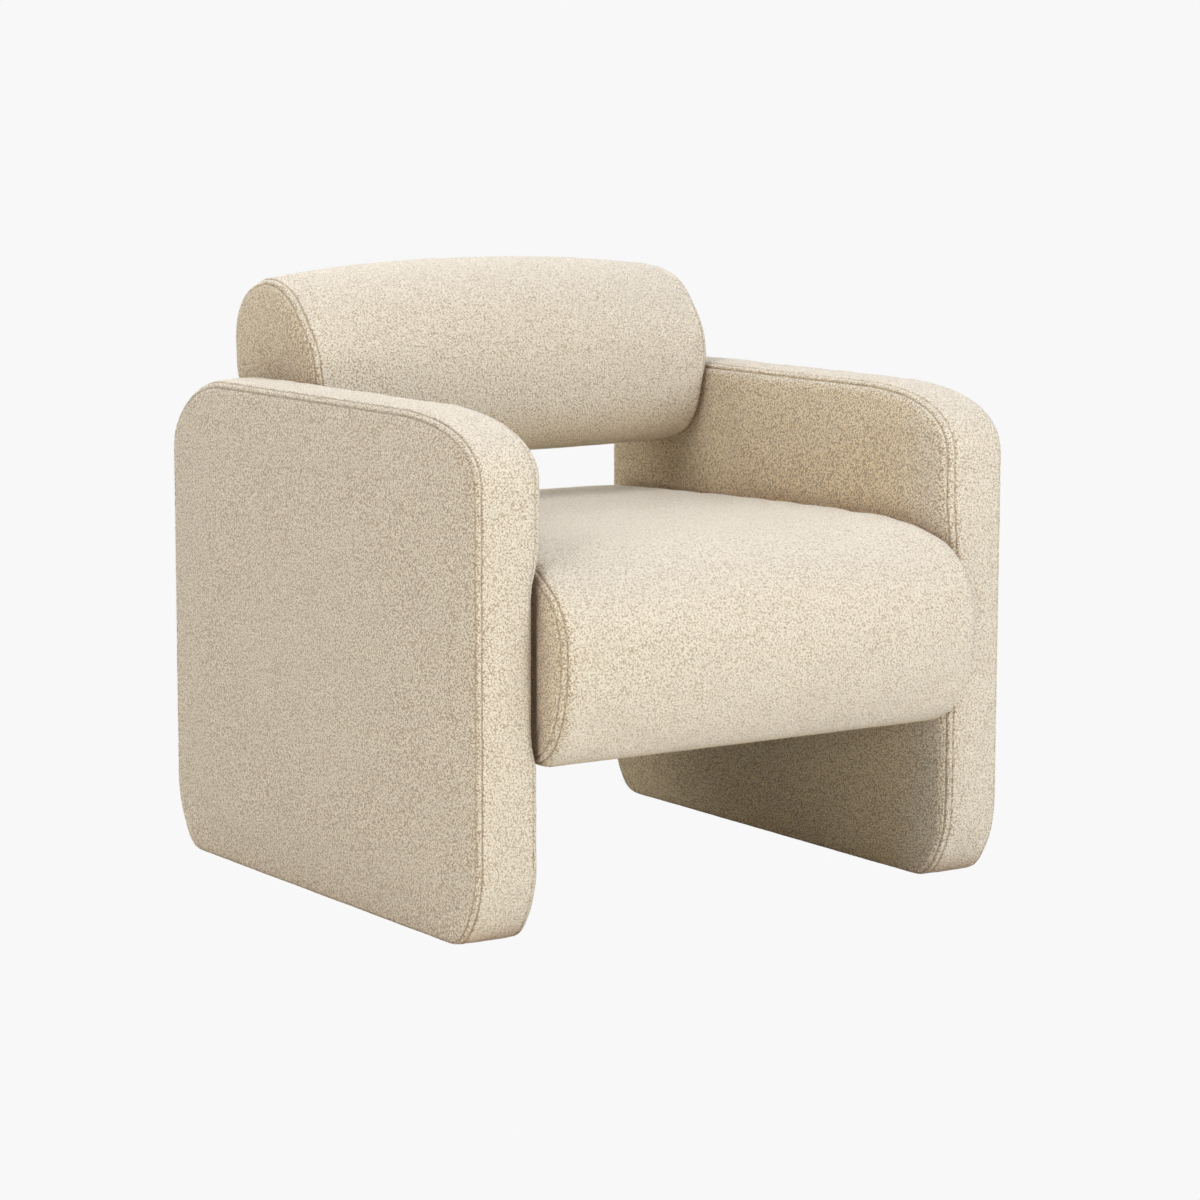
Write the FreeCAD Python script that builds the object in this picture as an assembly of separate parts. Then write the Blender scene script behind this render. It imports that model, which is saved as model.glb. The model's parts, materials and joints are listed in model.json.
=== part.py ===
import FreeCAD, Part

import os

from FreeCAD import Vector

# Upholstered armchair: two slab arms, a sprung seat and a bolster back bolted between them.
# Millimetres, +Z up, the front faces -Y, the origin is on the floor in the middle of the chair.

# Driving dimensions
WIDTH = 760.0
DEPTH = 800.0
HEIGHT = 750.0
ARM_THICK = 88.0
ARM_DEPTH = 742.0
ARM_HEIGHT = 610.0
SEAT_HEIGHT = 450.0
SEAT_UNDERSIDE = 204.0
SIDE_CLEARANCE = 0.5  # between the seat or back and each arm

# Side view of the arm: how deep and how tall each corner's curve is
ARM_TOP_FRONT = (184.0, 79.0)
ARM_TOP_REAR = (118.0, 85.0)
ARM_TOE = (60.0, 100.0)
ARM_EDGE_ROUND = 22.0

# Side view of the seat
SEAT_REAR_GAP = 7.0  # from the rear of the arms
SEAT_NOSE_Z = 334.0  # height of the front-most line
SEAT_ROLL_DEEP = 194.0
SEAT_UNDERCUT_DEEP = 85.0
SEAT_FALL = 22.0  # how far the top falls towards the rear
SEAT_REAR_ROLL = 50.0
SEAT_HEEL = 24.0
SEAT_EDGE_ROUND = 14.0

# Side view of the bolster
BACK_FRONT = 164.0
BACK_REAR = 382.0
BACK_UNDERSIDE = 500.0
BACK_LEAN = 16.0  # the crest sits this far behind the middle, the keel this far in front
BACK_WAIST_DROP = 6.0  # the widest line sits this far under mid height
BACK_EDGE_ROUND = 24.0

# Fullness of a corner's curve: 0.707 is an ellipse, more is squarer, less is flatter
ELLIPSE = 0.707
FULL = 0.82
SQUARE = 0.9
BOXY = 1.15
FLAT = 0.6

# Upholstery layers
COVER = 3.0  # boucle with its backing
FACE_FOAM = 12.0  # on the arm's flat faces
RIM_FOAM = 20.0  # round the arm's rim
END_FOAM = 6.0  # at the ends of the seat and back
LINER = 1.0
HEM = 20.0  # how far a cover turns in underneath
LAP = 6.0  # how far a liner laps the hem
STRIP = 3.0  # bent hardboard
STRIP_START = 30.0  # above the underside of the frame
INSULATOR = 1.5

# Timber and board
PANEL = 9.0
ARM_RAIL = 40.0
ARM_SEAT_RAIL_Z = (232.0, 312.0)
SEAT_RAIL_THICK = 25.0
SEAT_RAIL_TALL = 110.0
END_BOARD = 18.0

# Fasteners
BOLT_R = 4.0
BOLT_HOLE_R = 4.5
SOFT_HOLE_R = 6.0  # punched through foam and fabric round a bolt
HEAD_R = 6.5
HEAD_TALL = 5.3
SOCKET_R = 2.9
SOCKET_DEEP = 3.3
WASHER_R = 9.5
WASHER_THICK = 1.6
NUT_R = 5.0
NUT_FLANGE_R = 10.0
NUT_FLANGE_THICK = 1.5
NUT_TALL = 11.0

# Glides
GLIDE_R = 15.0
GLIDE_TALL = 4.0
GLIDE_INSET = 90.0  # from the arm's front and rear
GLIDE_EDGE_ROUND = 1.0
NAIL_R = 1.5
NAIL_LONG = 22.0

# Places worked out from the sizes above
FRONT = -DEPTH / 2
REAR = DEPTH / 2
ARM_FRONT = REAR - ARM_DEPTH
ARM_OUTER = WIDTH / 2
ARM_INNER = ARM_OUTER - ARM_THICK
HALF_SPAN = ARM_INNER - SIDE_CLEARANCE
LINER_Z = GLIDE_TALL
COVER_Z = LINER_Z + LINER  # underside of the arm's cover
FRAME_Z = COVER_Z + COVER  # underside of the arm's frame
RIM = COVER + RIM_FOAM + STRIP  # from the cover's surface to the rim of the panels
SKIN = COVER + FACE_FOAM  # from the cover's surface to the face of the panels
CORE_INNER = ARM_INNER + SKIN
CORE_OUTER = ARM_OUTER - SKIN
RAIL_IN = CORE_INNER + PANEL
RAIL_OUT = CORE_OUTER - PANEL

# Bolt lines, as (y, z) pairs
SEAT_BOLTS = [(-210.0, 272.0), (30.0, 272.0), (262.0, 272.0)]
BACK_BOLTS = [(243.0, 556.0), (301.0, 556.0)]


def save(node, solids):
    """Write one sub-part, made of one or more separate solids, as parts/NODE.step."""
    shape = solids[0] if len(solids) == 1 else Part.makeCompound(solids)
    shape.exportStep(os.path.join("parts", node + ".step"))


def box(x, y, z):
    """A box between three (low, high) pairs."""
    return Part.makeBox(x[1] - x[0], y[1] - y[0], z[1] - z[0], Vector(x[0], y[0], z[0]))


def rod(start, end, radius):
    """A round bar between two points."""
    run = end - start
    return Part.makeCylinder(radius, run.Length, start, run)


def line(a, b):
    return Part.LineSegment(Vector(0, *a), Vector(0, *b)).toShape()


def corner(start, knee, end, fullness):
    """A conic from start to end, tangent to both legs of the knee. 0.707 is an ellipse; more is squarer."""
    curve = Part.BezierCurve()
    curve.setPoles([Vector(0, *start), Vector(0, *knee), Vector(0, *end)])
    curve.setWeight(2, fullness)
    return curve.toShape()


def extrude(edges, x_low, x_high):
    """Extrude a closed outline in the YZ plane from x_low to x_high."""
    face = Part.Face(Part.Wire(edges))
    face.translate(Vector(x_low, 0, 0))
    return face.extrude(Vector(x_high - x_low, 0, 0))


def round_ends(solid, radius):
    """Round every edge that lies in one of the solid's two end planes."""
    low, high = solid.BoundBox.XMin, solid.BoundBox.XMax
    rims = []
    for edge in solid.Edges:
        span = edge.BoundBox
        if span.XLength < 0.01 and (abs(span.XMin - low) < 0.01 or abs(span.XMax - high) < 0.01):
            rims.append(edge)
    return solid.makeFillet(radius, rims)


def mirror(shape):
    """The same shape on the other side of the chair."""
    return shape.mirror(Vector(0, 0, 0), Vector(1, 0, 0))


def polygon(points, x_low, x_high):
    """Extrude a straight-sided outline given as (y, z) points."""
    closed = points + points[:1]
    return extrude([line(a, b) for a, b in zip(closed, closed[1:])], x_low, x_high)


# Outlines ---------------------------------------------------------------------------------------


def arm_outline(inset, bottom):
    """The slab seen from the side: two big top corners and legs that narrow a little to the floor."""
    front, rear = ARM_FRONT + inset, REAR - inset
    top = ARM_HEIGHT - inset
    front_deep, front_tall = ARM_TOP_FRONT[0] - inset, ARM_TOP_FRONT[1] - inset
    rear_deep, rear_tall = ARM_TOP_REAR[0] - inset, ARM_TOP_REAR[1] - inset
    toe_deep, toe_tall = ARM_TOE[0] - inset / 2, ARM_TOE[1] - inset
    return [
        line((front + toe_deep, bottom), (rear - toe_deep, bottom)),
        corner((rear - toe_deep, bottom), (rear, bottom), (rear, bottom + toe_tall), ELLIPSE),
        line((rear, bottom + toe_tall), (rear, top - rear_tall)),
        corner((rear, top - rear_tall), (rear, top), (rear - rear_deep, top), FLAT),
        line((rear - rear_deep, top), (front + front_deep, top)),
        corner((front + front_deep, top), (front, top), (front, top - front_tall), SQUARE),
        line((front, top - front_tall), (front, bottom + toe_tall)),
        corner((front, bottom + toe_tall), (front, bottom), (front + toe_deep, bottom), ELLIPSE),
    ]


def seat_outline(inset):
    """The seat seen from the side: a fat rolled front, a top that falls gently to the rear."""
    front, rear = FRONT + inset, REAR - SEAT_REAR_GAP - inset
    top, bottom = SEAT_HEIGHT - inset, SEAT_UNDERSIDE + inset
    roll_start = FRONT + SEAT_ROLL_DEEP
    undercut_end = FRONT + SEAT_UNDERCUT_DEEP
    heel = SEAT_HEEL - inset
    roll = SEAT_REAR_ROLL - inset
    rear_top = top - SEAT_FALL
    fall_middle = (roll_start + rear) / 2
    return [
        line((undercut_end, bottom), (rear - heel, bottom)),
        corner((rear - heel, bottom), (rear, bottom), (rear, bottom + heel), ELLIPSE),
        line((rear, bottom + heel), (rear, rear_top - roll)),
        corner((rear, rear_top - roll), (rear, rear_top - roll / 12), (rear - roll, rear_top), ELLIPSE),
        corner((rear - roll, rear_top), (fall_middle, top), (roll_start, top), 1.0),
        corner((roll_start, top), (front, top), (front, SEAT_NOSE_Z), BOXY),
        corner((front, SEAT_NOSE_Z), (front, bottom), (undercut_end, bottom), FULL),
    ]


def back_outline(inset_front, inset_rear, inset_top, inset_bottom):
    """The bolster seen from the end: an oval that leans back a little."""
    front, rear = BACK_FRONT + inset_front, BACK_REAR - inset_rear
    top, bottom = HEIGHT - inset_top, BACK_UNDERSIDE + inset_bottom
    middle = (front + rear) / 2
    waist = (top + bottom) / 2 - BACK_WAIST_DROP
    crest, keel = middle + BACK_LEAN, middle - BACK_LEAN
    return [
        corner((keel, bottom), (front, bottom), (front, waist), FULL),
        corner((front, waist), (front, top), (crest, top), FULL),
        corner((crest, top), (rear, top), (rear, waist), FULL),
        corner((rear, waist), (rear, bottom), (keel, bottom), FULL),
    ]


# Right arm ---------------------------------------------------------------------------------------


def arm_core():
    """The space that the arm's timber and panels fill."""
    return extrude(arm_outline(RIM, FRAME_Z), CORE_INNER, CORE_OUTER)


def bolt_holes(bolts, radius, x_low, x_high):
    return [rod(Vector(x_low, y, z), Vector(x_high, y, z), radius) for y, z in bolts]


def glide_places():
    x = (ARM_INNER + ARM_OUTER) / 2
    return [Vector(x, ARM_FRONT + GLIDE_INSET, 0), Vector(x, REAR - GLIDE_INSET, 0)]


def nails():
    base = Vector(0, 0, GLIDE_TALL)
    tip = Vector(0, 0, GLIDE_TALL + NAIL_LONG)
    return [rod(place + base, place + tip, NAIL_R) for place in glide_places()]


def arm_timber():
    """Posts and rails between the two panels, cut to the slab's outline."""
    core = arm_core()
    rail_x = (RAIL_IN, RAIL_OUT)
    front, rear = ARM_FRONT + RIM, REAR - RIM
    top = ARM_HEIGHT - RIM
    low, high = FRAME_Z + ARM_RAIL, top - ARM_RAIL
    timber = {
        "bottom_rail": box(rail_x, (front, rear), (FRAME_Z, low)),
        "top_rail": box(rail_x, (front, rear), (high, top)),
        "front_post": box(rail_x, (front, front + ARM_RAIL), (low, high)),
        "rear_post": box(rail_x, (rear - ARM_RAIL, rear), (low, high)),
        "seat_rail": box(rail_x, (front + ARM_RAIL, rear - ARM_RAIL), ARM_SEAT_RAIL_Z),
    }
    for name in timber:
        timber[name] = timber[name].common(core)
    timber["bottom_rail"] = timber["bottom_rail"].cut(nails())
    for name, bolts in (("seat_rail", SEAT_BOLTS), ("top_rail", BACK_BOLTS)):
        barrels = bolt_holes(bolts, NUT_R, RAIL_IN, RAIL_OUT)
        flanges = bolt_holes(bolts, NUT_FLANGE_R, RAIL_OUT - NUT_FLANGE_THICK, RAIL_OUT)
        timber[name] = timber[name].cut(barrels + flanges)
    return timber


def arm_panels():
    """The plywood skins; the inner one is drilled for the bolts."""
    outer = extrude(arm_outline(RIM, FRAME_Z), RAIL_OUT, CORE_OUTER)
    inner = extrude(arm_outline(RIM, FRAME_Z), CORE_INNER, RAIL_IN)
    holes = bolt_holes(SEAT_BOLTS + BACK_BOLTS, BOLT_HOLE_R, CORE_INNER, RAIL_IN)
    return {"outer_panel": outer, "inner_panel": inner.cut(holes)}


def arm_edge_strip():
    """Hardboard bent over the rim from the front toe, over the top, to the rear toe."""
    band = extrude(arm_outline(RIM - STRIP, FRAME_Z), CORE_INNER, CORE_OUTER).cut(arm_core())
    sole = box((CORE_INNER, CORE_OUTER), (ARM_FRONT, REAR), (0, FRAME_Z + STRIP_START))
    return band.cut(sole)


def arm_body(inset, bottom, edge_round):
    """The slab's soft outer form, shrunk by inset."""
    slab = extrude(arm_outline(inset, bottom), ARM_INNER + inset, ARM_OUTER - inset)
    return round_ends(slab, edge_round)


def arm_soft():
    """Foam wrapped round the frame, and the sewn cover, open underneath where it turns in."""
    stuffing = arm_body(COVER, FRAME_Z, ARM_EDGE_ROUND - COVER)
    skin = arm_body(0.0, COVER_Z, ARM_EDGE_ROUND).cut(stuffing)
    mouth_x = (ARM_INNER + HEM, ARM_OUTER - HEM)
    mouth_y = (ARM_FRONT + ARM_TOE[0], REAR - ARM_TOE[0])
    mouth = box(mouth_x, mouth_y, (COVER_Z, FRAME_Z + 1.0))
    frame = extrude(arm_outline(RIM - STRIP, FRAME_Z), CORE_INNER, CORE_OUTER)
    punched = bolt_holes(SEAT_BOLTS + BACK_BOLTS, SOFT_HOLE_R, ARM_INNER, CORE_INNER)
    return {"foam": stuffing.cut([frame] + punched), "cover": skin.cut([mouth, frame] + punched)}


def arm_liner():
    """Non-woven cloth stapled over the cover's hem, pierced by the glide nails."""
    x = (ARM_INNER + HEM - LAP, ARM_OUTER - HEM + LAP)
    y = (ARM_FRONT + ARM_TOE[0] - LAP, REAR - ARM_TOE[0] + LAP)
    return box(x, y, (LINER_Z, LINER_Z + LINER)).cut(nails())


def arm_glides():
    """Nail-on glides under the front and rear of the slab."""
    glides = []
    for place, nail in zip(glide_places(), nails()):
        disc = Part.makeCylinder(GLIDE_R, GLIDE_TALL, place)
        foot = [edge for edge in disc.Edges if edge.BoundBox.ZMax < 0.01]
        glides.append(disc.makeFillet(GLIDE_EDGE_ROUND, foot).fuse(nail))
    return glides


def make_arms():
    pieces = {name: [shape] for name, shape in {**arm_timber(), **arm_panels(), **arm_soft()}.items()}
    pieces["edge_strip"] = [arm_edge_strip()]
    pieces["base_liner"] = [arm_liner()]
    pieces["glides"] = arm_glides()
    for name, solids in pieces.items():
        save("right_arm_" + name, solids)
        save("left_arm_" + name, [mirror(solid) for solid in solids])


# Bolts between the arms and what they carry ------------------------------------------------------


def bolt_sets(bolts, board_face):
    """Bolt, washer and tee nut for each bolt line, on both sides. board_face carries the washer."""
    shanks, washers, nuts = [], [], []
    flange_x = RAIL_OUT - NUT_FLANGE_THICK
    for y, z in bolts:
        seat = Vector(board_face, y, z)
        head = Vector(board_face - WASHER_THICK, y, z)
        tip = Vector(RAIL_OUT, y, z)
        washer = rod(head, seat, WASHER_R).cut(rod(head, seat, BOLT_R))
        crown = rod(head - Vector(HEAD_TALL, 0, 0), head, HEAD_R)
        socket = rod(head - Vector(HEAD_TALL, 0, 0), head - Vector(HEAD_TALL - SOCKET_DEEP, 0, 0), SOCKET_R)
        barrel = rod(Vector(RAIL_OUT - NUT_TALL, y, z), tip, NUT_R)
        flange = rod(Vector(flange_x, y, z), tip, NUT_FLANGE_R)
        shanks.append(rod(head, tip, BOLT_R).fuse(crown).cut(socket))
        washers.append(washer)
        nuts.append(barrel.fuse(flange).cut(rod(seat, tip, BOLT_R)))
    both = []
    for solids in (shanks, washers, nuts):
        both.append(solids + [mirror(solid) for solid in solids])
    return both


def save_bolts(owner, bolts, board_face):
    shanks, washers, nuts = bolt_sets(bolts, board_face)
    save(owner + "_bolts", shanks)
    save(owner + "_washers", washers)
    save(owner + "_tee_nuts", nuts)


# Seat --------------------------------------------------------------------------------------------

SEAT_END = HALF_SPAN - COVER - END_FOAM  # outer face of the seat's side rails
SEAT_FRAME_Y = (FRONT + 70.0, REAR - 32.0)
SEAT_FRAME_Z = SEAT_UNDERSIDE + COVER
SEAT_RAIL_TOP = SEAT_FRAME_Z + SEAT_RAIL_TALL
SPRING_RAIL_Y = (200.0, 225.0)
BLOCK_LEG = 60.0
BLOCK_INSET = 25.0
SPRING_WIRE_R = 1.9
SPRING_Z = SEAT_RAIL_TOP + 4.0
SPRING_PITCH = 24.0
SPRING_RUNS = 23
SPRING_HALF_WIDTH = 25.0
SPRING_SPACING = 104.0
SPRING_COUNT = 5
TIE_R = 1.2
TIE_RUNS = (5.5, 11.5, 17.5)  # a tie wire lies over the springs at each of these runs
CLIP_SHEET = 1.2
CLIP_HALF_WIDE = 8.0
DECK_TOP = SEAT_RAIL_TOP + 11.0  # the foam starts here


def spring_lines():
    middle = (SPRING_COUNT - 1) / 2
    return [(i - middle) * SPRING_SPACING for i in range(SPRING_COUNT)]


def spring_ends():
    span = (SPRING_RUNS - 1) * SPRING_PITCH
    first = SEAT_FRAME_Y[0] + SEAT_RAIL_THICK / 2
    return first, first + span


def corner_block(x, y, inward):
    """A triangular block glued into a corner of the seat frame."""
    low = SEAT_FRAME_Z + BLOCK_INSET
    tall = SEAT_RAIL_TALL - 2 * BLOCK_INSET
    square = Vector(x, y, low)
    across = Vector(x - BLOCK_LEG, y, low)
    along = Vector(x, y + inward * BLOCK_LEG, low)
    face = Part.Face(Part.makePolygon([square, across, along, square]))
    return face.extrude(Vector(0, 0, tall))


def seat_timber():
    front, rear = SEAT_FRAME_Y
    z = (SEAT_FRAME_Z, SEAT_RAIL_TOP)
    inner = SEAT_END - SEAT_RAIL_THICK
    side = box((inner, SEAT_END), (front, rear), z)
    side = side.cut(bolt_holes(SEAT_BOLTS, BOLT_HOLE_R, inner, SEAT_END))
    blocks = [
        corner_block(inner, front + SEAT_RAIL_THICK, 1),
        corner_block(inner, rear - SEAT_RAIL_THICK, -1),
    ]
    blocks += [mirror(block) for block in blocks]
    save("seat_right_rail", [side])
    save("seat_left_rail", [mirror(side)])
    save("seat_front_rail", [box((-inner, inner), (front, front + SEAT_RAIL_THICK), z)])
    save("seat_rear_rail", [box((-inner, inner), (rear - SEAT_RAIL_THICK, rear), z)])
    save("seat_spring_rail", [box((-inner, inner), SPRING_RAIL_Y, z)])
    save("seat_corner_blocks", blocks)
    deck_y = (SPRING_RAIL_Y[1], rear)
    save("seat_deck_board", [box((-SEAT_END, SEAT_END), deck_y, (z[1], z[1] + PANEL))])


def zigzag_spring(x):
    """One sinuous spring: straight runs across, joined by half-circle bends."""
    bend = SPRING_PITCH / 2
    reach = SPRING_HALF_WIDTH - bend - SPRING_WIRE_R
    start = spring_ends()[0]
    path = []
    for run in range(SPRING_RUNS):
        y = start + run * SPRING_PITCH
        side = 1 if run % 2 == 0 else -1
        a, b = Vector(x - side * reach, y, SPRING_Z), Vector(x + side * reach, y, SPRING_Z)
        path.append(Part.LineSegment(a, b).toShape())
        if run < SPRING_RUNS - 1:
            tip = Vector(x + side * (reach + bend), y + bend, SPRING_Z)
            path.append(Part.Arc(b, tip, b + Vector(0, SPRING_PITCH, 0)).toShape())
    first = Vector(x - reach, start, SPRING_Z)
    section = Part.Wire(Part.makeCircle(SPRING_WIRE_R, first, Vector(1, 0, 0)))
    return Part.Wire(path).makePipeShell([section], True, False)


def spring_clip(x, y, outward):
    """A bent steel clip, nailed to the rail, that hooks over the spring's end run."""
    tail, wall, lip = y + outward * 9.0, y - outward * 5.0, y + outward * 4.0
    base = SEAT_RAIL_TOP
    roof = SPRING_Z + SPRING_WIRE_R + 0.2
    points = [
        (tail, base),
        (wall, base),
        (wall, roof + CLIP_SHEET),
        (lip, roof + CLIP_SHEET),
        (lip, roof),
        (wall + outward * CLIP_SHEET, roof),
        (wall + outward * CLIP_SHEET, base + CLIP_SHEET),
        (tail, base + CLIP_SHEET),
    ]
    return polygon(points, x - CLIP_HALF_WIDE, x + CLIP_HALF_WIDE)


def seat_springing():
    front, rear = spring_ends()
    clips = []
    for x in spring_lines():
        clips.append(spring_clip(x, front, -1))
        clips.append(spring_clip(x, rear, 1))
    ties = []
    tie_z = SPRING_Z + SPRING_WIRE_R + TIE_R + 0.1
    tie_end = SEAT_END - SEAT_RAIL_THICK / 2
    for run in TIE_RUNS:
        y = front + run * SPRING_PITCH
        ties.append(rod(Vector(-tie_end, y, tie_z), Vector(tie_end, y, tie_z), TIE_R))
    save("seat_springs", [zigzag_spring(x) for x in spring_lines()])
    save("seat_spring_clips", clips)
    save("seat_tie_wires", ties)


def seat_body(inset, edge_round):
    block = extrude(seat_outline(inset), -HALF_SPAN + inset, HALF_SPAN - inset)
    return round_ends(block, edge_round)


def seat_soft():
    stuffing = seat_body(COVER, SEAT_EDGE_ROUND - COVER)
    skin = seat_body(0.0, SEAT_EDGE_ROUND).cut(stuffing)
    frame_x = (-SEAT_END, SEAT_END)
    well = box(frame_x, SEAT_FRAME_Y, (SEAT_FRAME_Z, DECK_TOP))
    mouth_x = (-SEAT_END + HEM, SEAT_END - HEM)
    mouth_y = (SEAT_FRAME_Y[0] + HEM, SEAT_FRAME_Y[1] - HEM)
    mouth = box(mouth_x, mouth_y, (SEAT_UNDERSIDE, SEAT_UNDERSIDE + COVER + 1.0))
    punched = bolt_holes(SEAT_BOLTS, SOFT_HOLE_R, SEAT_END, HALF_SPAN)
    punched += [mirror(hole) for hole in punched]
    liner_x = (mouth_x[0] - LAP, mouth_x[1] + LAP)
    liner_y = (mouth_y[0] - LAP, mouth_y[1] + LAP)
    save("seat_foam", [stuffing.cut([well] + punched)])
    save("seat_cover", [skin.cut([mouth, well] + punched)])
    save("seat_dust_cover", [box(liner_x, liner_y, (SEAT_UNDERSIDE - LINER, SEAT_UNDERSIDE))])
    save("seat_insulator", [box(frame_x, SEAT_FRAME_Y, (DECK_TOP - INSULATOR, DECK_TOP))])


def make_seat():
    seat_timber()
    seat_springing()
    seat_soft()
    save_bolts("seat", SEAT_BOLTS, SEAT_END - SEAT_RAIL_THICK)


# Back --------------------------------------------------------------------------------------------

BACK_FRONT_FOAM = 45.0
BACK_REAR_FOAM = 20.0
BACK_TOP_FOAM = 28.0
BACK_BOTTOM_FOAM = 19.0
BACK_END = HALF_SPAN - COVER - END_FOAM
WRAP_BOARD = 2.0
WRAP_START_Y = 278.0
STRAP = 1.5
STRAP_WIDE = 50.0
STRAP_SPACING = 100.0
STRAP_COUNT = 5
BACK_TOP_RAIL = ((258.0, 334.0), (668.0, 694.0))  # y and z spans
BACK_BOTTOM_RAIL = ((256.0, 288.0), (532.0, 592.0))


def back_core(extra):
    """The bolster's frame outline; extra shrinks it further."""
    return back_outline(
        COVER + BACK_FRONT_FOAM + extra,
        COVER + BACK_REAR_FOAM + extra,
        COVER + BACK_TOP_FOAM + extra,
        COVER + BACK_BOTTOM_FOAM + extra,
    )


def back_frame():
    inner = BACK_END - END_BOARD
    end = extrude(back_core(WRAP_BOARD), inner, BACK_END)
    end = end.cut(bolt_holes(BACK_BOLTS, BOLT_HOLE_R, inner, BACK_END))
    hollow = extrude(back_core(WRAP_BOARD), -BACK_END, BACK_END)
    wrap = extrude(back_core(0.0), -BACK_END, BACK_END).cut(hollow)
    behind = box((-BACK_END, BACK_END), (WRAP_START_Y, REAR), (BACK_UNDERSIDE, HEIGHT))
    save("back_right_end", [end])
    save("back_left_end", [mirror(end)])
    save("back_top_rail", [box((-inner, inner), *BACK_TOP_RAIL)])
    save("back_bottom_rail", [box((-inner, inner), *BACK_BOTTOM_RAIL)])
    save("back_rear_board", [wrap.common(behind)])


def back_webbing():
    """Upright straps, stapled to the front of both rails, that carry the front foam."""
    top_y, top_z = BACK_TOP_RAIL[0][0], BACK_TOP_RAIL[1]
    low_y, low_z = BACK_BOTTOM_RAIL[0][0], BACK_BOTTOM_RAIL[1]
    route = [(top_y, top_z[1]), (top_y, top_z[0]), (low_y, low_z[1]), (low_y, low_z[0])]
    front = [(y - STRAP, z) for y, z in reversed(route)]
    straps = []
    for i in range(STRAP_COUNT):
        x = (i - (STRAP_COUNT - 1) / 2) * STRAP_SPACING
        straps.append(polygon(route + front, x - STRAP_WIDE / 2, x + STRAP_WIDE / 2))
    save("back_webbing", straps)


def back_body(inset, edge_round):
    bolster = extrude(back_outline(inset, inset, inset, inset), -HALF_SPAN + inset, HALF_SPAN - inset)
    return round_ends(bolster, edge_round)


def back_soft():
    stuffing = back_body(COVER, BACK_EDGE_ROUND - COVER)
    skin = back_body(0.0, BACK_EDGE_ROUND).cut(stuffing)
    core = extrude(back_core(0.0), -BACK_END, BACK_END)
    punched = bolt_holes(BACK_BOLTS, SOFT_HOLE_R, BACK_END, HALF_SPAN)
    punched += [mirror(hole) for hole in punched]
    save("back_foam", [stuffing.cut([core] + punched)])
    save("back_cover", [skin.cut(punched)])


def make_back():
    back_frame()
    back_webbing()
    back_soft()
    save_bolts("back", BACK_BOLTS, BACK_END - END_BOARD)


os.makedirs("parts", exist_ok=True)
make_arms()
make_seat()
make_back()
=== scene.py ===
import json
import math

import bpy
import numpy as np
from mathutils import Matrix, Vector


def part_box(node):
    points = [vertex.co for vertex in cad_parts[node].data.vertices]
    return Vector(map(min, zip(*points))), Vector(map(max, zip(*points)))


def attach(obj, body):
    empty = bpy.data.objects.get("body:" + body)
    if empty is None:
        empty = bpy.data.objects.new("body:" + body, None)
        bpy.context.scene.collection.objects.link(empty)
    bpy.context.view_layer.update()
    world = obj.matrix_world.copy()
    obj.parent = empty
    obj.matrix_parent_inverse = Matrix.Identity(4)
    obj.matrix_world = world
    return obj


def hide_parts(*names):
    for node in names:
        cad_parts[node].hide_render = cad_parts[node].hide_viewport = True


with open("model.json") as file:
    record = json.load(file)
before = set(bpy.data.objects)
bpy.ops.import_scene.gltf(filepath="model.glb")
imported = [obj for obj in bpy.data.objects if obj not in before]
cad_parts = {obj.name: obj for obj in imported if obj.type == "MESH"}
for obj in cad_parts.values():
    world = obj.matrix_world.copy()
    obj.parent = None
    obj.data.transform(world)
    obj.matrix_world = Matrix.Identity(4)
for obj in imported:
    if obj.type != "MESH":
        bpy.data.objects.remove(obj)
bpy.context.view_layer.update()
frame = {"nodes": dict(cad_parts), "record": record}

# Upholstered armchair in cream boucle: two slab arms, a thick seat and a bolster back.
# Metres, +Z up, the front faces -Y. Shapes are worked out in millimetres and scaled at the end.

MM = 0.001

# Camera ------------------------------------------------------------------------------------------

# Fitted to the outline in the photo
CAM_PLACE = (-2.5058, -3.7567, 0.9869)
CAM_TARGET = (0.03096, 0.02755, 0.33059)
CAM_ROLL = math.radians(0.111)
CAM_LENS = 109.74
SENSOR = 36.0


def facing(place, target):
    """A matrix at a place whose -Z looks at the target."""
    place, target = Vector(place), Vector(target)
    look = (target - place).to_track_quat("-Z", "Y").to_matrix().to_4x4()
    return Matrix.Translation(place) @ look


def make_camera():
    data = bpy.data.cameras.new("camera")
    data.lens = CAM_LENS
    data.sensor_width = SENSOR
    data.sensor_height = SENSOR
    data.clip_start = 0.1
    data.clip_end = 60.0
    camera = bpy.data.objects.new("camera", data)
    bpy.context.scene.collection.objects.link(camera)
    camera.matrix_world = facing(CAM_PLACE, CAM_TARGET) @ Matrix.Rotation(CAM_ROLL, 4, "Z")
    bpy.context.scene.camera = camera


# Stage and light ---------------------------------------------------------------------------------

WHITE = (1, 1, 1, 1)
BACKDROP = 0.939  # linear value of the photo's white
FLOOR_HALF = 14.0
FLOOR_BOUNCE = (0.87, 0.84, 0.77, 1)
WORLD_FILL = 0.17
LIT_POINT = (0.0, 0.0, 0.4)  # every soft box faces this point

# name, place, size, watts, colour
SOFT_BOXES = [
    ("key", (1.4, -3.2, 2.2), (2.4, 2.4), 99.0, (0.94, 0.98, 1.08)),
    ("top", (0.1, -0.5, 3.2), (2.4, 2.4), 29.0, (0.95, 0.98, 1.05)),
    ("low", (-1.6, -3.6, 0.9), (2.4, 1.6), 46.0, (1.04, 0.98, 0.88)),
    ("behind", (0.0, 2.6, 2.6), (2.4, 2.0), 104.0, (0.98, 0.99, 0.99)),
    ("side", (-2.4, -0.4, 2.9), (2.0, 2.0), 66.0, (1.02, 0.98, 0.96)),
]


def shader(name):
    material = bpy.data.materials.new(name)
    material.use_nodes = True
    material.node_tree.nodes.clear()
    return material, material.node_tree


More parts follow.
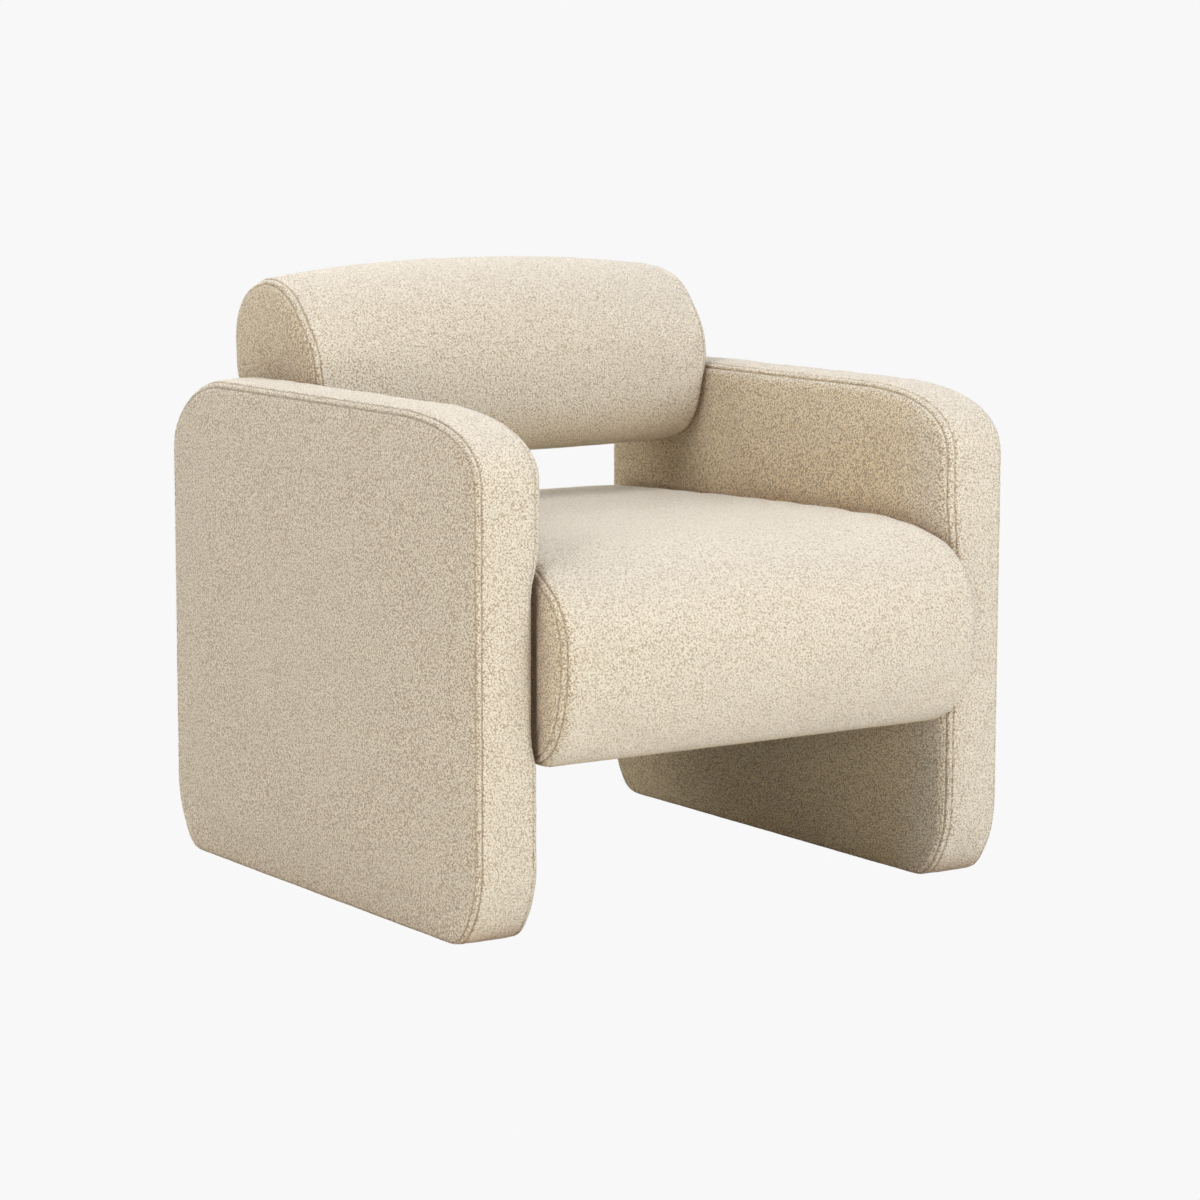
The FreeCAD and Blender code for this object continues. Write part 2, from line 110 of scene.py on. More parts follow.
def white_to_camera(tree, glow_type, other, output_type):
    """The camera sees an even white; all other light meets the given shader node."""
    nodes, links = tree.nodes, tree.links
    path = nodes.new("ShaderNodeLightPath")
    white = nodes.new(glow_type)
    white.inputs["Color"].default_value = WHITE
    white.inputs["Strength"].default_value = BACKDROP
    mix = nodes.new("ShaderNodeMixShader")
    out = nodes.new(output_type)
    links.new(path.outputs["Is Camera Ray"], mix.inputs["Fac"])
    links.new(other.outputs[0], mix.inputs[1])
    links.new(white.outputs[0], mix.inputs[2])
    links.new(mix.outputs[0], out.inputs["Surface"])


def make_floor():
    """A plain pale floor: evenly white where it is seen, and a weaker bounce for the chair."""
    mesh = bpy.data.meshes.new("floor")
    corners = [(-1, -1), (1, -1), (1, 1), (-1, 1)]
    mesh.from_pydata([(x * FLOOR_HALF, y * FLOOR_HALF, 0) for x, y in corners], [], [(0, 1, 2, 3)])
    floor = bpy.data.objects.new("floor", mesh)
    bpy.context.scene.collection.objects.link(floor)
    material, tree = shader("floor_white")
    matt = tree.nodes.new("ShaderNodeBsdfDiffuse")
    matt.inputs["Color"].default_value = FLOOR_BOUNCE
    white_to_camera(tree, "ShaderNodeEmission", matt, "ShaderNodeOutputMaterial")
    mesh.materials.append(material)


def make_world():
    """White behind the chair for the camera, and a weak white fill for everything else."""
    world = bpy.data.worlds.new("studio")
    bpy.context.scene.world = world
    world.use_nodes = True
    tree = world.node_tree
    tree.nodes.clear()
    fill = tree.nodes.new("ShaderNodeBackground")
    fill.inputs["Color"].default_value = WHITE
    fill.inputs["Strength"].default_value = WORLD_FILL
    white_to_camera(tree, "ShaderNodeBackground", fill, "ShaderNodeOutputWorld")


def soft_box(name, place, size, power, colour):
    data = bpy.data.lights.new(name, "AREA")
    data.shape = "RECTANGLE"
    data.size, data.size_y = size
    data.energy = power
    data.color = colour
    light = bpy.data.objects.new(name, data)
    bpy.context.scene.collection.objects.link(light)
    light.matrix_world = facing(place, LIT_POINT)


# Side views, in millimetres ----------------------------------------------------------------------

# Fullness of a corner's curve: ELLIPSE is an ellipse, more is squarer, less is flatter
FLAT, ELLIPSE, FULL, SQUARE, ROUND, BOXY = 0.6, 0.707, 0.82, 0.9, 1.0, 1.15

# How deep and how tall each corner of the arm is
ARM_TOP_FRONT = (184.0, 79.0)
ARM_TOP_REAR = (132.0, 94.0)
ARM_TOE = (60.0, 100.0)
ARM_ROUND = 18.0  # radius of the inner edge
ARM_OUTER_ROUND = 13.0
CORNER_LEAST = 8.0
SOLE = 0.28  # the arm's bottom edge is rounded this much as tall as the others
HEM_ROLL = 3.4  # the cover's turned edge hangs this far below its base cloth

SEAT_NOSE = 130.0  # the front-most line, above the underside
SEAT_FALL = 18.5  # how far the top falls towards the rear
SEAT_ROLL_DEEP = 194.0
SEAT_UNDERCUT_DEEP = 85.0
SEAT_HEEL = (24.0, 4.0)  # size, and the least size left by an inset
SEAT_REAR_ROLL = (50.0, 6.0)
SEAT_ROUND = 18.0

BACK_WAIST_DROP = 6.0  # the widest line sits this far under mid height
BACK_LEAN = 16.0  # the crest sits this far behind the middle, the keel this far in front
BACK_KEEL_RISE = 5.0
BACK_ROUND = 13.0


def conic(start, knee, end, weight):
    """A point-giving function for a conic corner, t from 0 to 1."""
    p0, p1, p2 = (np.array(p, float) for p in (start, knee, end))

    def at(t):
        t = np.asarray(t, float)[..., None]
        a, b, c = (1 - t) ** 2, 2 * weight * t * (1 - t), t**2
        return (a * p0 + b * p1 + c * p2) / (a + b + c)

    return at


def straight(start, end):
    p0, p1 = np.array(start, float), np.array(end, float)

    def at(t):
        t = np.asarray(t, float)[..., None]
        return p0 * (1 - t) + p1 * t

    return at


# Outlines in the (y, z) plane, in the order bottom, rear, top, front, as counter-clockwise loops
# when seen from +X. Each gives the same segments at any inset, so that rings line up.


def arm_outline(low, high):
    """The slab's outline between its CAD box's corners, as a function of the inset."""
    y0, y1, z0, z1 = low[1], high[1], low[2], high[2]

    def at(inset):
        front, rear, top = y0 + inset, y1 - inset, z1 - inset
        bottom = z0 + SOLE * min(inset, ARM_ROUND) + max(inset - ARM_ROUND, 0.0)
        fd, rd, td = ARM_TOP_FRONT[0] - inset, ARM_TOP_REAR[0] - inset, ARM_TOE[0] - inset * 0.5
        ft = max(ARM_TOP_FRONT[1] - inset, CORNER_LEAST)
        rt = max(ARM_TOP_REAR[1] - inset, CORNER_LEAST)
        tt = max(ARM_TOE[1] - inset, CORNER_LEAST)
        return [
            straight((front + td, bottom), (rear - td, bottom)),
            conic((rear - td, bottom), (rear, bottom), (rear, bottom + tt), ELLIPSE),
            straight((rear, bottom + tt), (rear, top - rt)),
            conic((rear, top - rt), (rear, top), (rear - rd, top), FLAT),
            straight((rear - rd, top), (front + fd, top)),
            conic((front + fd, top), (front, top), (front, top - ft), SQUARE),
            straight((front, top - ft), (front, bottom + tt)),
            conic((front, bottom + tt), (front, bottom), (front + td, bottom), ELLIPSE),
        ]

    return at, (1, 3, 5, 7)


def seat_outline(low, high):
    """The seat's outline: a deep front roll, a nearly flat top and a small heel."""
    y0, y1, z0, z1 = low[1], high[1], low[2], high[2]
    nose = z0 + SEAT_NOSE

    def at(inset):
        front, rear, top, bottom = y0 + inset, y1 - inset, z1 - inset, z0 + inset
        roll_start, under = y0 + SEAT_ROLL_DEEP, y0 + SEAT_UNDERCUT_DEEP
        heel = max(SEAT_HEEL[0] - inset, SEAT_HEEL[1])
        roll = max(SEAT_REAR_ROLL[0] - inset, SEAT_REAR_ROLL[1])
        rear_top = top - SEAT_FALL
        knee = rear_top - roll / 12
        mid = (roll_start + rear) / 2
        return [
            straight((under, bottom), (rear - heel, bottom)),
            conic((rear - heel, bottom), (rear, bottom), (rear, bottom + heel), ELLIPSE),
            straight((rear, bottom + heel), (rear, rear_top - roll)),
            conic((rear, rear_top - roll), (rear, knee), (rear - roll, rear_top), ELLIPSE),
            conic((rear - roll, rear_top), (mid, top), (roll_start, top), ROUND),
            conic((roll_start, top), (front, top), (front, nose), BOXY),
            conic((front, nose), (front, bottom), (under, bottom), FULL),
        ]

    return at, (1, 3, 5, 6)


def back_outline(low, high):
    """The bolster's outline: a leaning oval in four quarters."""
    y0, y1, z0, z1 = low[1], high[1], low[2], high[2]

    def at(inset):
        front, rear, top, bottom = y0 + inset, y1 - inset, z1 - inset, z0 + inset
        middle = (front + rear) / 2
        waist = (top + bottom) / 2 - BACK_WAIST_DROP
        crest, keel = middle + BACK_LEAN, middle - BACK_LEAN
        return [
            conic((keel, bottom), (rear, bottom), (rear, waist), FULL),
            conic((rear, waist), (rear, top), (crest, top), FULL),
            conic((crest, top), (front, top), (front, waist), FULL),
            conic((front, waist), (front, bottom + BACK_KEEL_RISE), (keel, bottom), BOXY),
        ]

    return at, (0, 1, 2, 3)


class Loop:
    """Samples round an outline: even steps between four corner points, one in each corner curve."""

    DENSE = 240

    def __init__(self, outline, corner_segments, count_y, count_z):
        self.outline = outline
        t = np.linspace(0, 1, self.DENSE, endpoint=False)
        segments = outline(0.0)
        points = np.concatenate([s(t) for s in segments])
        self.seg = np.repeat(np.arange(len(segments)), self.DENSE)
        self.t = np.tile(t, len(segments))
        closed = np.vstack([points, points[:1]])
        steps = np.linalg.norm(np.diff(closed, axis=0), axis=1)
        self.arc = np.concatenate([[0], np.cumsum(steps)])
        self.length = self.arc[-1]
        centre = (points.min(0) + points.max(0)) / 2
        ways = [(1, -1), (1, 1), (-1, 1), (-1, -1)]  # bottom-rear, top-rear, top-front, bottom-front
        starts = []
        for k, way in zip(corner_segments, ways):
            part = np.where(self.seg == k)[0]
            reach = (points[part] - centre) @ np.array(way, float)
            starts.append(self.arc[part[np.argmax(reach)]])
        counts = [count_z, count_y, count_z, count_y]  # rear, top, front, bottom
        places = []
        for k in range(4):
            a, b = starts[k], starts[(k + 1) % 4]
            if b <= a:
                b += self.length
            places.append(np.linspace(a, b, counts[k], endpoint=False))
        s = np.mod(np.concatenate(places), self.length)
        where = np.interp(s, self.arc, np.arange(len(self.arc)))
        whole = np.floor(where).astype(int) % len(self.t)
        part = where - np.floor(where)
        self.pick_seg = self.seg[whole]
        self.pick_t = self.t[whole] + part / self.DENSE
        self.count_y, self.count_z = count_y, count_z
        self.count = len(s)

    def ring(self, inset):
        """Points of the ring at one inset."""
        out = np.zeros((self.count, 2))
        segments = self.outline(float(inset))
        for k in np.unique(self.pick_seg):
            here = self.pick_seg == k
            out[here] = segments[k](self.pick_t[here])
        return out

    def normals(self):
        """Outward normals of the outline at each sample."""
        ring = self.ring(0.0)
        along = np.roll(ring, -1, axis=0) - np.roll(ring, 1, axis=0)
        along /= np.linalg.norm(along, axis=1)[:, None]
        return np.c_[along[:, 1], -along[:, 0]]


def coons(loop, ring, rounds=60):
    """Points of the grid inside a ring, (count_y + 1) by (count_z + 1), relaxed to even steps."""
    ny, nz = loop.count_y, loop.count_z
    rear = ring[0:nz]
    top = ring[nz : nz + ny]
    front = ring[nz + ny : 2 * nz + ny]
    bottom = ring[2 * nz + ny :]
    grid = np.zeros((ny + 1, nz + 1, ring.shape[1]))
    grid[ny, :nz] = rear
    grid[ny, nz] = top[0]
    grid[ny:0:-1, nz] = top
    grid[0, nz] = front[0]
    grid[0, nz:0:-1] = front
    grid[0, 0] = bottom[0]
    grid[0:ny, 0] = bottom
    u = np.linspace(0, 1, ny + 1)[:, None, None]
    v = np.linspace(0, 1, nz + 1)[None, :, None]
    a, b = grid[0:1, :, :], grid[ny : ny + 1, :, :]
    c, d = grid[:, 0:1, :], grid[:, nz : nz + 1, :]
    p00, p10, p01, p11 = grid[0, 0], grid[ny, 0], grid[0, nz], grid[ny, nz]
    blend = (1 - u) * a + u * b + (1 - v) * c + v * d
    blend -= (1 - u) * (1 - v) * p00 + u * (1 - v) * p10 + (1 - u) * v * p01 + u * v * p11
    inner = blend.copy()
    inner[0], inner[ny], inner[:, 0], inner[:, nz] = grid[0], grid[ny], grid[:, 0], grid[:, nz]
    for _ in range(rounds):
        beside = inner[:-2, 1:-1] + inner[2:, 1:-1] + inner[1:-1, :-2] + inner[1:-1, 2:]
        inner[1:-1, 1:-1] = beside / 4
    return inner


def ring_index(loop):
    """The ring sample at each border point of the grid, and -1 at the points inside."""
    ny, nz = loop.count_y, loop.count_z
    index = -np.ones((ny + 1, nz + 1), int)
    order = np.arange(loop.count)
    index[ny, :nz] = order[0:nz]
    index[ny:0:-1, nz] = order[nz : nz + ny]
    index[0, nz:0:-1] = order[nz + ny : 2 * nz + ny]
    index[0:ny, 0] = order[2 * nz + ny :]
    return index


def swell(grid_points, rounds=1500):
    """Height of a membrane blown up over the grid, 0 at its border and 1 at its highest."""
    ny, nz = grid_points.shape[0] - 1, grid_points.shape[1] - 1
    h = np.zeros((ny + 1, nz + 1))
    dy = np.linalg.norm(grid_points[-1].mean(0) - grid_points[0].mean(0)) / ny
    dz = np.linalg.norm(grid_points[:, -1].mean(0) - grid_points[:, 0].mean(0)) / nz
    wy, wz = 1 / dy**2, 1 / dz**2
    for _ in range(rounds):
        side = wy * (h[:-2, 1:-1] + h[2:, 1:-1]) + wz * (h[1:-1, :-2] + h[1:-1, 2:]) + 1
        h[1:-1, 1:-1] = side / (2 * (wy + wz))
    return h / h.max()


END_REACH = 200.0  # the ends' middles count as this far past the last ring, clear of any seam


class Form:
    """The closed structured mesh of one upholstered body.

    rows: (x, inset, across) of each ring from the left end to the right end, where across is the
    distance over the surface that the seams are placed by.
    crown(x, ring_points, normals, inset) gives each ring's x and how far it moves outwards.
    end_crown(grid, height) gives how far the points of each end stand out.
    """

    def __init__(self, loop, rows, crown, end_crown):
        normal = loop.normals()
        m = loop.count
        points, across, faces = [], [], []
        for x, inset, c in rows:
            ring = loop.ring(inset)
            x_row, push = crown(x, ring, normal, inset)
            ring = ring + normal * push[:, None]
            points.append(np.c_[x_row, ring])
            across.append(np.full(m, c))
        points = np.concatenate(points)
        across = np.concatenate(across)
        count = len(rows)
        k = np.arange(m)
        for j in range(count - 1):
            a, b = j * m + k, j * m + (k + 1) % m
            c, d = (j + 1) * m + (k + 1) % m, (j + 1) * m + k
            faces.append(np.c_[a, b, c, d])
        index = ring_index(loop)
        for side, j in ((-1, 0), (1, count - 1)):
            ring3 = points[j * m : (j + 1) * m]
            grid = coons(loop, ring3)
            height = swell(grid[:, :, 1:])
            grid[:, :, 0] += side * end_crown(grid, height)
            where = index.copy()
            where[where >= 0] += j * m
            hole = where < 0
            start = len(points)
            where[hole] = start + np.arange(hole.sum())
            points = np.vstack([points, grid[hole]])
            edge = rows[j][2]
            across = np.concatenate([across, edge + side * END_REACH * height[hole]])
            a, b = where[:-1, :-1].ravel(), where[1:, :-1].ravel()
            c, d = where[1:, 1:].ravel(), where[:-1, 1:].ravel()
            quad = np.c_[a, b, c, d] if side > 0 else np.c_[a, d, c, b]
            faces.append(quad)
        self.points = points
        self.across = across
        self.faces = np.concatenate(faces)


def to_mesh(name, points, faces):
    mesh = bpy.data.meshes.new(name)
    mesh.vertices.add(len(points))
    mesh.vertices.foreach_set("co", np.ascontiguousarray(points, np.float32).ravel())
    mesh.loops.add(faces.size)
    mesh.loops.foreach_set("vertex_index", faces.astype(np.int32).ravel())
    mesh.polygons.add(len(faces))
    mesh.polygons.foreach_set("loop_start", np.arange(0, faces.size, 4, dtype=np.int32))
    mesh.polygons.foreach_set("loop_total", np.full(len(faces), 4, np.int32))
    mesh.update(calc_edges=True)
    mesh.validate()
    return mesh


def read_points(mesh):
    out = np.empty(len(mesh.vertices) * 3, np.float32)
    mesh.vertices.foreach_get("co", out)
    return out.reshape(-1, 3).astype(float)


def read_quads(mesh):
    out = np.empty(len(mesh.loops), np.int32)
    mesh.loops.foreach_get("vertex_index", out)
    return out.reshape(-1, 4)


def smooth_split(points, faces, levels):
    """Catmull-Clark on any three numbers for each vertex. Returns finer values and faces."""
    mesh = to_mesh("split", points, faces)
    piece = bpy.data.objects.new("split", mesh)
    bpy.context.scene.collection.objects.link(piece)
    modifier = piece.modifiers.new("split", "SUBSURF")
    modifier.levels = modifier.render_levels = levels
    graph = bpy.context.evaluated_depsgraph_get()
    fine = bpy.data.meshes.new_from_object(piece.evaluated_get(graph))
    values, quads = read_points(fine), read_quads(fine)
    bpy.data.objects.remove(piece)
    bpy.data.meshes.remove(mesh)
    bpy.data.meshes.remove(fine)
    return values, quads


def vertex_normals(points, faces):
    a, b, c, d = (points[faces[:, k]] for k in range(4))
    n = np.cross(c - a, d - b)
    out = np.zeros_like(points)
    for k in range(4):
        for axis in range(3):
            out[:, axis] += np.bincount(faces[:, k], n[:, axis], len(points))
    return out / np.maximum(np.linalg.norm(out, axis=1), 1e-12)[:, None]


def hash3(i, seed):
    """A repeatable number from 0 to 1 for each integer (x, y, z) cell."""
    x, y, z = i.astype(np.int64).T
    n = (x * 73856093) ^ (y * 19349663) ^ (z * 83492791) ^ (seed * 2654435761)
    n = (n ^ (n >> 13)) * 1274126177 & 0x7FFFFFFF
    n = (n ^ (n >> 16)) * 668265263 & 0x7FFFFFFF
    return (n & 0xFFFFFF) / float(0xFFFFFF)


def noise(p, size, seed):
    """Smooth value noise from -1 to 1, with lumps about size across."""
    q = p / size
    base = np.floor(q)
    f = q - base
    f = f * f * (3 - 2 * f)
    total = np.zeros(len(p))
    for dx in (0, 1):
        for dy in (0, 1):
            for dz in (0, 1):
                w = np.where(dx, f[:, 0], 1 - f[:, 0])
                w = w * np.where(dy, f[:, 1], 1 - f[:, 1])
                w = w * np.where(dz, f[:, 2], 1 - f[:, 2])
                total += w * hash3(base + np.array([dx, dy, dz]), seed)
    return total * 2 - 1


CLOTH_FRAMES = 20
PRESSURE = 0.9


def inflate(points, faces, held, cap):
    """How far cloth simulation blows the cover up, less than cap. It is sewn down where held."""
    mesh = to_mesh("blown", points * MM, faces)
    piece = bpy.data.objects.new("blown", mesh)
    bpy.context.scene.collection.objects.link(piece)
    group = piece.vertex_groups.new(name="held")
    group.add([int(i) for i in np.where(held)[0]], 1.0, "REPLACE")
    modifier = piece.modifiers.new("cloth", "CLOTH")
    cloth = modifier.settings
    cloth.quality = 5
    cloth.mass = 0.4
    cloth.tension_stiffness = cloth.compression_stiffness = 40
    cloth.shear_stiffness = 5
    cloth.bending_stiffness = 0.8
    cloth.use_pressure = True
    cloth.uniform_pressure_force = PRESSURE
    cloth.vertex_group_mass = "held"
    cloth.pin_stiffness = 1.0
    cloth.effector_weights.gravity = 0
    cloth.shrink_min = -0.006
    modifier.collision_settings.use_collision = False
    modifier.point_cache.frame_start = 1
    modifier.point_cache.frame_end = CLOTH_FRAMES
    scene = bpy.context.scene
    for number in range(1, CLOTH_FRAMES + 1):
        scene.frame_set(number)
    blown = piece.evaluated_get(bpy.context.evaluated_depsgraph_get())
    moved = read_points(blown.data) / MM - points
    scene.frame_set(1)
    bpy.data.objects.remove(piece)
    bpy.data.meshes.remove(mesh)
    far = np.linalg.norm(moved, axis=1)
    limit = cap * np.tanh(far / cap)
    return moved * (limit / np.maximum(far, 1e-9))[:, None]


# Seams -------------------------------------------------------------------------------------------

SEAM_HALF = 4.3  # half the distance between the two rows of stitching
SEAM_HELD = 4.0  # the simulation holds the cover this near to a seam's middle
GROOVE, GROOVE_WIDE = 1.7, 1.1
BAND, BAND_WIDE = 0.7, 3.2
DIP, DIP_WIDE = 0.6, 13.0
# width of the painted shade along each row of stitching
SEAM_SHADE_WIDE = 0.9


def seam_relief(t):
    """Height of a lapped, double-stitched seam at t mm from its middle."""
    groove = np.exp(-(((np.abs(t) - SEAM_HALF) / GROOVE_WIDE) ** 2))
    band = np.exp(-((t / BAND_WIDE) ** 4))
    dip = np.exp(-((t / DIP_WIDE) ** 2))
    return -GROOVE * groove + BAND * band - DIP * dip


def smoothstep(x):
    x = np.clip(x, 0, 1)
    return x * x * (3 - 2 * x)


def fade(value, zero_at, one_at):
    """A smooth change from 0 to 1 between two values, in either direction."""
    return smoothstep((value - zero_at) / (one_at - zero_at))


def over_edge(half, radius, degrees):
    """Distance over the surface from the middle to a place on the rounded edge."""
    return half - radius + radius * math.radians(degrees)


def edge_rows(half, radius, flat, turn, rings):
    """Rows of the right half: flat ones at x, then the rounded edge, then rings on the end."""
    rows = [(float(x), 0.0, float(x)) for x in flat]
    for degrees in turn:
        a = math.radians(degrees)
        x, inset = half - radius + radius * math.sin(a), radius * (1 - math.cos(a))
        rows.append((x, inset, over_edge(half, radius, degrees)))
    for inset in rings:
        rows.append((half, inset, over_edge(half, radius, 90) + inset - radius))
    return rows


def both_sides(left, right):
    """Rows from the left end to the right end. The two halves share the middle row."""
    return [(-x, inset, -across) for x, inset, across in left[:0:-1]] + right


# Materials ---------------------------------------------------------------------------------------


class Maker:
    """Short calls for building a node tree."""

    def __init__(self, name):
        self.material, self.tree = shader(name)
        self.nodes, self.links = self.tree.nodes, self.tree.links
        self.where = self.nodes.new("ShaderNodeTexCoord").outputs["Object"]
        self.surface = self.nodes.new("ShaderNodeBsdfPrincipled")
        out = self.nodes.new("ShaderNodeOutputMaterial")
        self.links.new(self.surface.outputs[0], out.inputs["Surface"])

    def join(self, value, socket):
        if isinstance(value, (int, float, tuple)):
            socket.default_value = value
        else:
            self.links.new(value, socket)

    def noise(self, scale, detail=2.0, rough=0.5, vector=None, distort=0.0):
        node = self.nodes.new("ShaderNodeTexNoise")
        self.links.new(self.where if vector is None else vector, node.inputs["Vector"])
        node.inputs["Scale"].default_value = scale
        node.inputs["Detail"].default_value = detail
        node.inputs["Roughness"].default_value = rough
        node.inputs["Distortion"].default_value = distort
        return node

    def cells(self, scale, vector=None, randomness=1.0):
        node = self.nodes.new("ShaderNodeTexVoronoi")
        self.links.new(self.where if vector is None else vector, node.inputs["Vector"])
        node.inputs["Scale"].default_value = scale
        node.inputs["Randomness"].default_value = randomness
        return node.outputs["Distance"]

    def wave(self, scale, vector=None, axis="X", distort=0.0, detail=2.0, detail_scale=1.0):
        node = self.nodes.new("ShaderNodeTexWave")
        node.bands_direction = axis
        self.links.new(self.where if vector is None else vector, node.inputs["Vector"])
        node.inputs["Scale"].default_value = scale
        node.inputs["Distortion"].default_value = distort
        node.inputs["Detail"].default_value = detail
        node.inputs["Detail Scale"].default_value = detail_scale
        return node.outputs["Fac"]

    def attribute(self, name):
        node = self.nodes.new("ShaderNodeAttribute")
        node.attribute_name = name
        return node.outputs["Fac"]

    def math(self, kind, a, b, c=None):
        node = self.nodes.new("ShaderNodeMath")
        node.operation = kind
        self.join(a, node.inputs[0])
        self.join(b, node.inputs[1])
        if c is not None:
            self.join(c, node.inputs[2])
        return node.outputs[0]

    def shift(self, vector, by, amount):
        """vector + (by - 0.5) * amount, where by is a colour."""
        centred = self.nodes.new("ShaderNodeVectorMath")
        centred.operation = "SUBTRACT"
        self.links.new(by, centred.inputs[0])
        centred.inputs[1].default_value = (0.5, 0.5, 0.5)
        node = self.nodes.new("ShaderNodeVectorMath")
        node.operation = "MULTIPLY_ADD"
        self.links.new(centred.outputs[0], node.inputs[0])
        node.inputs[1].default_value = (amount,) * 3
        self.links.new(vector, node.inputs[2])
        return node.outputs[0]

    def scale(self, by, vector=None):
        node = self.nodes.new("ShaderNodeVectorMath")
        node.operation = "MULTIPLY"
        self.links.new(self.where if vector is None else vector, node.inputs[0])
        node.inputs[1].default_value = by
        return node.outputs[0]

    def ramp(self, fac, stops):
        """Colour for a value, from (value, (r, g, b)) stops."""
        node = self.nodes.new("ShaderNodeValToRGB")
        ramp = node.color_ramp
        while len(ramp.elements) < len(stops):
            ramp.elements.new(0.5)
        for element, (at, colour) in zip(ramp.elements, stops):
            element.position = at
            element.color = (*colour, 1)
        self.links.new(fac, node.inputs["Fac"])
        return node.outputs["Color"]

    def mix(self, fac, a, b, kind="MIX"):
        node = self.nodes.new("ShaderNodeMix")
        node.data_type = "RGBA"
        node.blend_type = kind
        self.join(fac, node.inputs["Factor"])
        self.join(a, node.inputs["A"])
        self.join(b, node.inputs["B"])
        return node.outputs["Result"]

    def span(self, value, low, high, to_low, to_high):
        node = self.nodes.new("ShaderNodeMapRange")
        self.links.new(value, node.inputs["Value"])
        node.inputs["From Min"].default_value = low
        node.inputs["From Max"].default_value = high
        node.inputs["To Min"].default_value = to_low
        node.inputs["To Max"].default_value = to_high
        return node.outputs["Result"]

    def bump(self, height, distance):
        node = self.nodes.new("ShaderNodeBump")
        node.inputs["Distance"].default_value = distance
        node.inputs["Strength"].default_value = 1.0
        self.links.new(height, node.inputs["Height"])
        return node.outputs["Normal"]

    def closed(self, distance, low, high):
        """1 in creases where surfaces meet within the distance, 0 in the open."""
        node = self.nodes.new("ShaderNodeAmbientOcclusion")
        node.samples = 6
        node.inputs["Distance"].default_value = distance
        return self.span(node.outputs["AO"], low, high, 1.0, 0.0)

    def finish(self, colour, rough, normal, **fixed):
        inputs = self.surface.inputs
        self.join(colour, inputs["Base Color"])
        self.join(rough, inputs["Roughness"])
        self.links.new(normal, inputs["Normal"])
        for key, value in fixed.items():
            inputs[key.replace("_", " ")].default_value = value
        return self.material


def boucle():
    """Looped wool-mix yarn: crowded curls about 2 mm across, with painted shade in the small pits
    between them.
    """
    m = Maker("boucle_cream")
    wander = m.noise(300.0, 2.0).outputs["Color"]
    bent = m.shift(m.where, wander, 0.0010)
    curls = m.cells(440.0, bent)
    small = m.cells(900.0, bent)
    fibre = m.noise(1100.0, 2.0, 0.6, bent).outputs["Fac"]
    dome = m.span(curls, 0.10, 0.70, 1.0, 0.0)
    pin = m.span(small, 0.05, 0.70, 1.0, 0.0)
    height = m.math("MULTIPLY", dome, 0.55)
    height = m.math("MULTIPLY_ADD", pin, 0.30, height)
    height = m.math("MULTIPLY_ADD", fibre, 0.35, height)
    # painted shade: the pits show darker where the cloth faces a side, as grazing light would shade
    # them
    pit_shade_spread = m.span(m.attribute("flank"), 0.0, 1.0, 0.78, 1.25)
    middle = 0.60
    depth = m.math("MULTIPLY_ADD", m.math("SUBTRACT", height, middle), pit_shade_spread, middle)
    # the yarn's own cream tone at the top of the curls; the dark brown low end is painted shade in the
    # pits
    colour = m.ramp(
        depth,
        [
            (0.26, (0.360, 0.260, 0.150)),
            (0.45, (0.760, 0.665, 0.505)),
            (0.60, (0.875, 0.795, 0.640)),
            (1.00, (0.905, 0.825, 0.670)),
        ],
    )
    # painted shade: a warm tint in enclosed places, brown in creases where ambient occlusion finds
    # them, and darker along the stitching grooves
    warm_shaded_colour = m.mix(1.0, colour, (1.0, 0.900, 0.680, 1.0), "MULTIPLY")
    colour = m.mix(m.attribute("enclosed_shade"), colour, warm_shaded_colour)
    # painted shade: creases found by ambient occlusion turn brown
    crease_shaded_colour = m.mix(1.0, colour, (0.68, 0.50, 0.33, 1.0), "MULTIPLY")
    colour = m.mix(m.closed(0.06, 0.08, 0.60), colour, crease_shaded_colour)
    # painted shade along the stitching grooves, broken into dashes like stitches
    broken = m.span(m.noise(230.0, 1.0).outputs["Fac"], 0.35, 0.60, 0.35, 1.0)
    groove_shade_mask = m.math("MULTIPLY", m.math("MULTIPLY", m.attribute("seam_shade"), 0.65), broken)
    colour = m.mix(groove_shade_mask, colour, (0.34, 0.24, 0.13, 1.0))
    nap = {"Sheen_Weight": 0.6, "Sheen_Roughness": 0.5, "Specular_IOR_Level": 0.25}
    return m.finish(colour, 0.96, m.bump(height, 0.0030), **nap)


def plain(name, colours, scale, rough, bump=0.0004, **fixed):
    """A mottled material: noise between two or three colours, with a fine relief."""
    m = Maker(name)
    coarse = m.noise(scale, 4.0, 0.6).outputs["Fac"]
    fine = m.noise(scale * 6, 3.0, 0.6).outputs["Fac"]
    steps = np.linspace(0.3, 0.72, len(colours))
    colour = m.ramp(coarse, [(float(s), c) for s, c in zip(steps, colours)])
    both = m.math("MULTIPLY_ADD", fine, 0.5, coarse)
    roughness = m.span(fine, 0.3, 0.7, rough - 0.06, min(rough + 0.06, 1.0))
    return m.finish(colour, roughness, m.bump(both, bump), **fixed)


